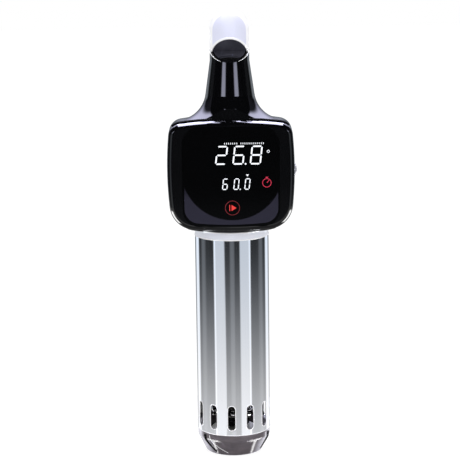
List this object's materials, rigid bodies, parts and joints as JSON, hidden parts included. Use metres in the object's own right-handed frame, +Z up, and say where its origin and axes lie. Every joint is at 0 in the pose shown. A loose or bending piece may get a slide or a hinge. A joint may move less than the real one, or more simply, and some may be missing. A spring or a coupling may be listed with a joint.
{
  "type": "sous vide circulator",
  "caption": "Upright immersion circulator for sous vide cooking: black display head with a gooseneck handle and thumb wheel on a slotted steel skirt with a heater and pump.",
  "frame": {"origin": "on the skirt's axis, where the steel skirt meets the collar under the head", "axes": "+Z up along the skirt's axis, the display looks along -Y, the thumb wheel is on +X"},
  "size_m": [0.0998, 0.1008, 0.3507],
  "materials": {
    "black_gloss": "polished black",
    "silver_cover": "satin silver",
    "silver_collar": "satin silver",
    "dark_lens": "polished, dark tint",
    "black_rubber": "matte",
    "film": "plain film",
    "display_glass": "polished",
    "board_green": "lacquered board",
    "black_matte": "fine texture",
    "aluminium": "as cut",
    "dark_screw": "black oxide",
    "white_plastic": "moulded",
    "steel": "turned",
    "skirt_steel": "polished",
    "heater_steel": "drawn tube",
    "bronze": "turned",
    "motor_paint": "satin",
    "iron": "laminated",
    "smoked_cap": "polished, smoked",
    "wheel_chrome": "satin chrome"
  },
  "bodies": {
    "head": {"front_shell": "black_gloss", "rear_shell": "black_gloss", "housing_screws": "dark_screw", "handle_core": "black_gloss", "handle_cover": "silver_cover", "display_lens": "dark_lens", "lens_gasket": "black_rubber", "touch_film": "film", "display_module": "display_glass", "control_board": "board_green", "buzzer": "black_matte", "wheel_bracket": "black_matte", "wheel_encoder": "black_matte", "power_board": "board_green", "heat_sink": "aluminium", "cord_gland": "black_matte", "gland_nut": "black_matte", "collar": "silver_collar", "bulkhead": "white_plastic", "bulkhead_seal": "black_rubber", "bulkhead_screws": "steel", "stem_tube": "steel", "upper_bush": "bronze", "shaft_seal": "black_rubber", "lower_bush": "bronze", "pump_plate": "white_plastic", "motor_bracket": "aluminium", "bracket_screws": "steel", "motor_can": "motor_paint", "motor_stator": "iron", "heater_coil": "heater_steel", "heater_risers": "heater_steel", "temperature_probe": "steel", "level_electrodes": "steel"},
    "skirt": {"skirt_tube": "skirt_steel", "collar_pins": "steel", "cap_pins": "steel"},
    "cap": {"bottom_cap": "smoked_cap"},
    "pump": {"pump_shaft": "steel", "shaft_coupling": "bronze", "impeller": "white_plastic", "motor_rotor": "iron", "motor_shaft": "steel", "cooling_fan": "black_matte"},
    "wheel": {"thumb_wheel": "wheel_chrome", "wheel_axle": "steel"}
  },
  "joints": [
    {"name": "skirt_twist", "type": "hinge", "parent": "head", "child": "skirt", "pos_m": [0, 0, 0], "axis": [0, 0, 1], "range_deg": [0, 25]},
    {"name": "cap_twist", "type": "hinge", "parent": "skirt", "child": "cap", "pos_m": [0, 0, -0.157], "axis": [0, 0, 1], "range_deg": [0, 25]},
    {"name": "pump_spin", "type": "hinge", "parent": "head", "child": "pump", "pos_m": [0, 0, 0], "axis": [0, 0, 1], "continuous": true},
    {"name": "wheel_spin", "type": "hinge", "parent": "head", "child": "wheel", "pos_m": [0.043, -0.017, 0.0538], "axis": [0, 1, 0], "continuous": true}
  ]
}
